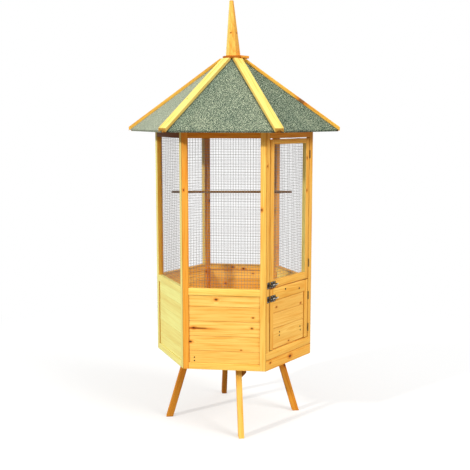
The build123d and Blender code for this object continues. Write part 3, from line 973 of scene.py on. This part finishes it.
def roof_felt():
    """Felt sheets with softened edges and a strip folded over the eave."""
    bm = cad_copy("roof_felt")
    soften(bm, 0.0010)
    pitch = math.atan(ROOF_SLOPE)
    down = Vector((0, -math.cos(pitch), -math.sin(pitch)))
    up = Vector((0, -math.sin(pitch), math.cos(pitch)))
    foot = Vector((0, -EAVE_APOTHEM, EAVE_HEIGHT))
    for wall in WALLS:
        turn = wall_turn(wall)
        left = []
        right = []
        for lift, out in FOLD_OUTLINE:
            point = foot + up * lift + down * out
            half = Vector((-point.y * math.tan(math.radians(30)) - FOLD_SHORT, 0, 0))
            left.append(bm.verts.new(turn @ (point - half)))
            right.append(bm.verts.new(turn @ (point + half)))
        for i in range(4):
            j = (i + 1) % 4
            bm.faces.new((left[i], left[j], right[j], right[i]))
        bm.faces.new(left)
        bm.faces.new(right)
    bmesh.ops.recalc_face_normals(bm, faces=bm.faces)
    # Share of painted sunlight on each slope
    painted_sunlight = bm.faces.layers.float.new("painted_sunlight")
    for group in islands(bm):
        value = SLOPE_SUNLIGHT[wall_of(group)]
        for face in group:
            face[painted_sunlight] = value
    piece("roof_felt_sheets", bm, FELT, "cage", ("roof_felt",))


# Hardware

# Bolts, drawn for the door wall: places along the wall, distances out of it
BOLT_OUT = 0.005
BOLT_RADIUS = 0.003
BOLT_X = (-0.1565, -0.1005)
KNOB_X = -0.127
# Knob outline: distance out of the bolt's centre line, radius
KNOB_OUTLINE = [
    (0, 0.0025),
    (0.0030, 0.0021),
    (0.0052, 0.0021),
    (0.0062, 0.0027),
    (0.0078, 0.0029),
    (0.0088, 0.0022),
    (0.0090, 0.0010),
]
PLATE_FACE = 0.0015
PLATE_SCREWS_X = (-0.1440, -0.1280)
KEEPER_SCREWS_X = -0.1780


def dress_metal(node, material, width):
    """Hardware copy with eased edges."""
    bm = cad_copy(node)
    soften(bm, width, 2, 40)
    piece(f"{node}_metal", bm, material, body_of_node[node], (node,))


def door_bolt(node, height):
    """Turned bolt with chamfered ends and a waisted knob."""
    bm = bmesh.new()
    y = -(WALL_APOTHEM + BOLT_OUT)
    length = BOLT_X[1] - BOLT_X[0]
    rod = [(0, 0.0018), (0.0012, BOLT_RADIUS), (length - 0.0008, BOLT_RADIUS), (length, 0.0024)]
    lathe(bm, (BOLT_X[0], y, height), (1, 0, 0), rod, 24)
    lathe(bm, (KNOB_X, y, height), (0, -1, 0), KNOB_OUTLINE, 20)
    bmesh.ops.recalc_face_normals(bm, faces=bm.faces)
    piece(f"{node}_turned", bm, ZINC, body_of_node[node], (node,))


def hardware():
    """Hinges, bolts with their plates and keepers, screws and nails."""
    for node in ("frame_hinge_leaves", "upper_door_hinge_leaves", "lower_door_hinge_leaves"):
        dress_metal(node, BRASSED, 0.0003)
    for node in ("bolt_keepers", "upper_bolt_plate", "lower_bolt_plate"):
        dress_metal(node, DARK_ZINC, 0.0004)
    keeper_spots = []
    for door in ("upper", "lower"):
        low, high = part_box(f"{door}_bolt")
        height = (low[2] + high[2]) / 2
        door_bolt(f"{door}_bolt", height)
        spots = [(DOOR_WALL, x, height + rise) for x in PLATE_SCREWS_X for rise in (-0.0115, 0.0115)]
        screws(f"{door}_bolt_screws", f"{door}_door", spots, PLATE_SCREW_HEAD, ZINC, PLATE_FACE)
        keeper_spots += [(DOOR_WALL, KEEPER_SCREWS_X, height + rise) for rise in (-0.0100, 0.0100)]
    screws("keeper_screws", "cage", keeper_spots, PLATE_SCREW_HEAD, ZINC, PLATE_FACE)

    front_nails = [spot for spot in NAILS if spot[0] == FRONT_WALL]
    door_nails = [spot for spot in NAILS if spot[0] == DOOR_WALL]
    board_nails = list(front_nails)
    for wall in (BACK_WALL, BACK_RIGHT_WALL, FRONT_RIGHT_WALL):
        board_nails += [(wall, across, height) for _, across, height in front_nails]
    screws("board_nails", "cage", board_nails, BOARD_NAIL_HEAD, SCREW, -BOARD_RECESS)
    screws("door_board_nails", "lower_door", door_nails, DOOR_NAIL_HEAD, SCREW, -BOARD_RECESS)
    screws("door_rail_screws", "lower_door", RAIL_SCREWS, RAIL_SCREW_HEAD, SCREW)


# Camera, light and floor

CAMERA_AT = (-3.1475, -2.3938, 1.4632)
CAMERA_HEADING = 37.129
CAMERA_DOWN = 8.080
CAMERA_LENS = 62.97
SKY_LOW = 0.15
SKY_HIGH = 0.90
FLOOR_BOUNCE = 0.35


def towards(azimuth, elevation):
    """Unit vector towards an azimuth and an elevation."""
    turn = math.radians(azimuth)
    rise = math.radians(elevation)
    return Vector((math.cos(rise) * math.cos(turn), math.cos(rise) * math.sin(turn), math.sin(rise)))


def camera():
    """Camera at the photograph's viewpoint."""
    data = bpy.data.cameras.new("camera")
    data.sensor_width = 36.0
    data.lens = CAMERA_LENS
    obj = bpy.data.objects.new("camera", data)
    bpy.context.scene.collection.objects.link(obj)
    obj.location = CAMERA_AT
    obj.rotation_euler = towards(CAMERA_HEADING, -CAMERA_DOWN).to_track_quat("-Z", "Y").to_euler()
    bpy.context.scene.camera = obj


def sun(name, azimuth, elevation, strength, spread, colour=(1.0, 1.0, 1.0)):
    """Parallel light from a direction, softened by its spread."""
    data = bpy.data.lights.new(name, "SUN")
    data.energy = strength
    data.angle = math.radians(spread)
    data.color = colour
    obj = bpy.data.objects.new(name, data)
    bpy.context.scene.collection.objects.link(obj)
    source = towards(azimuth, elevation)
    obj.location = source * 5
    obj.rotation_euler = source.to_track_quat("Z", "Y").to_euler()


def seen_directly(tree):
    """1 for camera, glossy and transmission rays."""
    path = add(tree, "ShaderNodeLightPath")
    first = calc(tree, "MAXIMUM", path.outputs["Is Camera Ray"], path.outputs["Is Glossy Ray"])
    return calc(tree, "MAXIMUM", first, path.outputs["Is Transmission Ray"])


def mix_shaders(tree, factor, first, second, output):
    """Mix of two shader outputs, led to an output socket."""
    both = add(tree, "ShaderNodeMixShader")
    for socket, value in zip(both.inputs, (factor, first, second)):
        tree.links.new(value, socket)
    tree.links.new(both.outputs[0], output)


def world():
    """World brighter overhead than at the horizon, and plain white where it is seen."""
    sky = bpy.data.worlds.new("world")
    bpy.context.scene.world = sky
    sky.use_nodes = True
    tree = sky.node_tree
    tree.nodes.clear()
    output = add(tree, "ShaderNodeOutputWorld")
    light = add(tree, "ShaderNodeBackground", {0: (1.0, 1.0, 1.0, 1.0)})
    place = add(tree, "ShaderNodeTexCoord")
    split = add(tree, "ShaderNodeSeparateXYZ")
    tree.links.new(place.outputs["Generated"], split.inputs[0])
    plug(tree, light.inputs[1], step(tree, split.outputs[2], 0.0, 0.9, SKY_LOW, SKY_HIGH))
    white = add(tree, "ShaderNodeBackground", {0: (1.0, 1.0, 1.0, 1.0), 1: 1.0})
    mix_shaders(tree, seen_directly(tree), light.outputs[0], white.outputs[0], output.inputs[0])


def pale_floor():
    """Pale floor that keeps the shadow near the object and turns white further out."""
    bm = bmesh.new()
    bmesh.ops.create_grid(bm, x_segments=1, y_segments=1, size=40.0)
    bmesh.ops.translate(bm, vec=(0, 0, -0.0005), verts=bm.verts)
    mesh = bpy.data.meshes.new("studio_floor")
    bm.to_mesh(mesh)
    bm.free()
    floor = bpy.data.objects.new("studio_floor", mesh)
    bpy.context.scene.collection.objects.link(floor)
    mat, tree, shader = new_material("studio_floor")
    direct = seen_directly(tree)
    colour = blend(tree, "MIX", direct, (FLOOR_BOUNCE,) * 3, (0.95, 0.95, 0.94))
    plug(tree, shader.inputs["Base Color"], colour)
    shader.inputs["Roughness"].default_value = 1.0
    shader.inputs["Specular IOR Level"].default_value = 0.0
    glow = add(tree, "ShaderNodeEmission", {0: (1.0, 1.0, 1.0, 1.0), 1: 1.0})
    place = add(tree, "ShaderNodeTexCoord")
    reach = add(tree, "ShaderNodeVectorMath", operation="LENGTH")
    tree.links.new(place.outputs["Object"], reach.inputs[0])
    away = step(tree, reach.outputs["Value"], 0.5, 2.6, 0.45, 1.0)
    factor = calc(tree, "MULTIPLY", away, direct)
    output = tree.nodes["Material Output"].inputs[0]
    mix_shaders(tree, factor, shader.outputs[0], glow.outputs[0], output)
    mesh.materials.append(mat)


timber()
walls()
roof_felt()
hardware()
camera()
world()
pale_floor()
sun("key", azimuth=166, elevation=23, strength=2.35, spread=4, colour=(1.0, 0.98, 0.94))
sun("fill", azimuth=268, elevation=30, strength=2.1, spread=30)
bpy.context.scene.view_settings.view_transform = "Standard"
